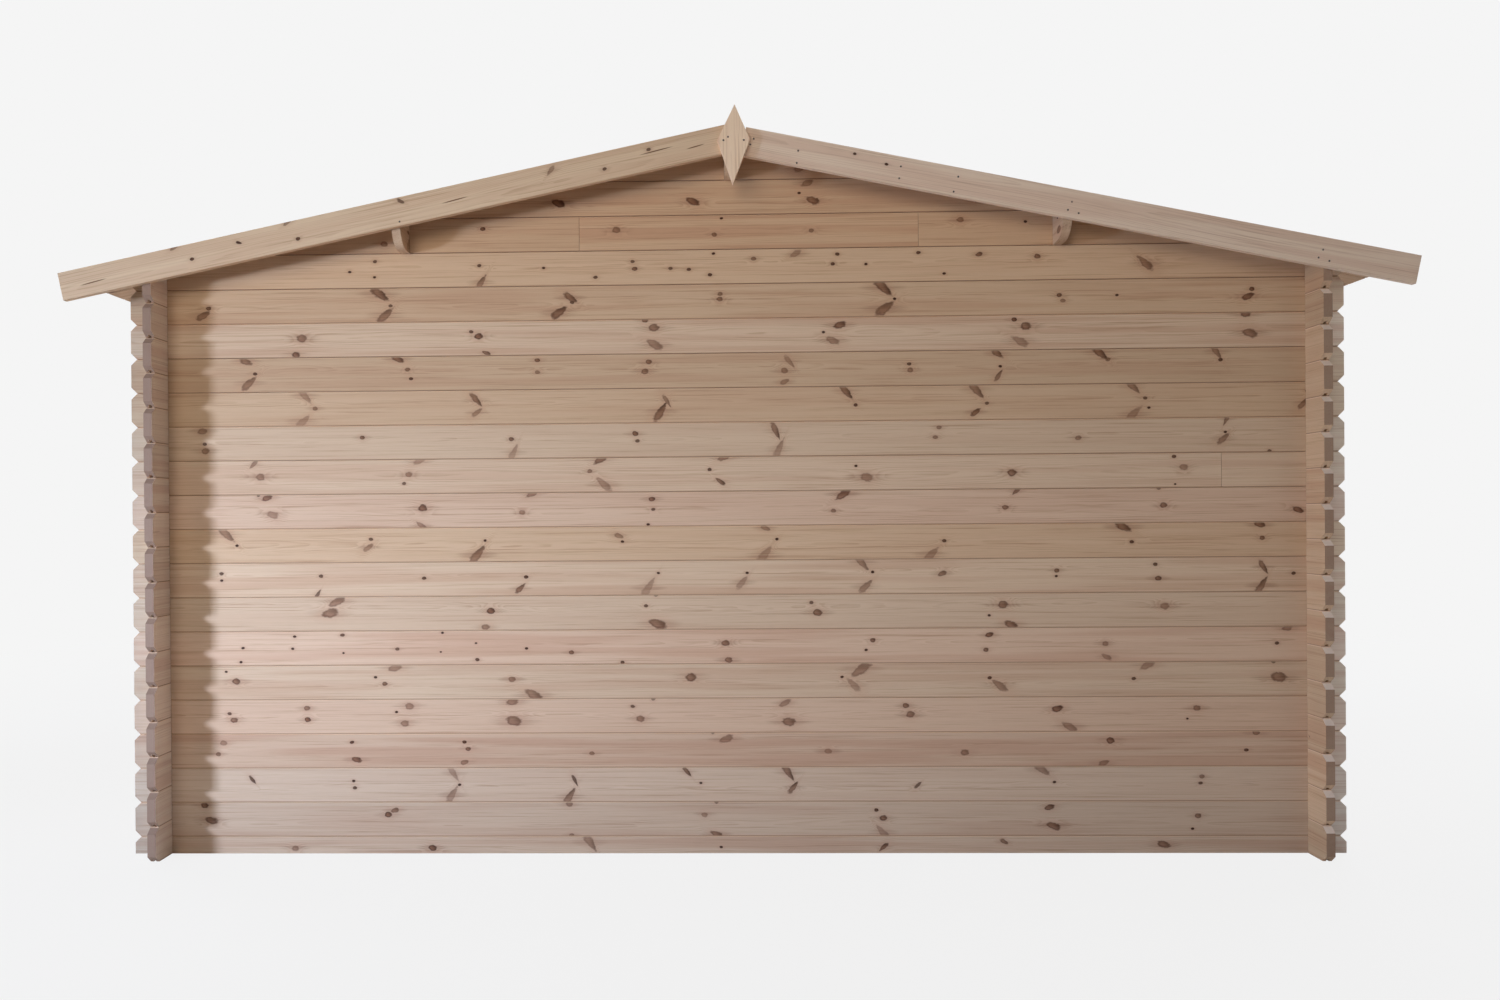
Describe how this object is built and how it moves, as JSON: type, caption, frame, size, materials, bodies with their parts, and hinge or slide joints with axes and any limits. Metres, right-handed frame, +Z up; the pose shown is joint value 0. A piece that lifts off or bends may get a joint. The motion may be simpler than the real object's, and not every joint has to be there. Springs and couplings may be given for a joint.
{
  "type": "garden shed",
  "caption": "Log-cabin garden shed of interlocked pine logs with a low gable roof, bargeboards, diamond finials and a boarded door in one gable.",
  "frame": {"origin": "middle of the shed's outline on the ground", "axes": "+Z up; the pictured blank gable faces -Y and the gable with the door faces +Y; +X is to the right in the picture"},
  "size_m": [4.3388, 3.0732, 2.4162],
  "materials": {
    "pine": "planed, untreated",
    "ironmongery": "satin"
  },
  "bodies": {
    "root": {"rear_sill_log": "pine", "rear_wall_logs": "pine", "rear_gable_logs": "pine", "front_sill_log": "pine", "front_left_logs": "pine", "front_right_logs": "pine", "front_gable_logs": "pine", "left_wall_logs": "pine", "right_wall_logs": "pine", "left_eaves_log": "pine", "right_eaves_log": "pine", "left_purlin": "pine", "ridge_purlin": "pine", "right_purlin": "pine", "left_roof_deck": "pine", "right_roof_deck": "pine", "rear_left_bargeboard": "pine", "rear_right_bargeboard": "pine", "front_left_bargeboard": "pine", "front_right_bargeboard": "pine", "rear_finial": "pine", "front_finial": "pine", "door_left_jamb": "pine", "door_right_jamb": "pine", "door_head": "pine", "door_threshold": "pine", "door_boards": "pine", "door_ledges": "pine", "door_lower_hinge": "ironmongery", "door_upper_hinge": "ironmongery", "door_handle_plate": "ironmongery", "door_handle": "ironmongery"}
  },
  "joints": []
}
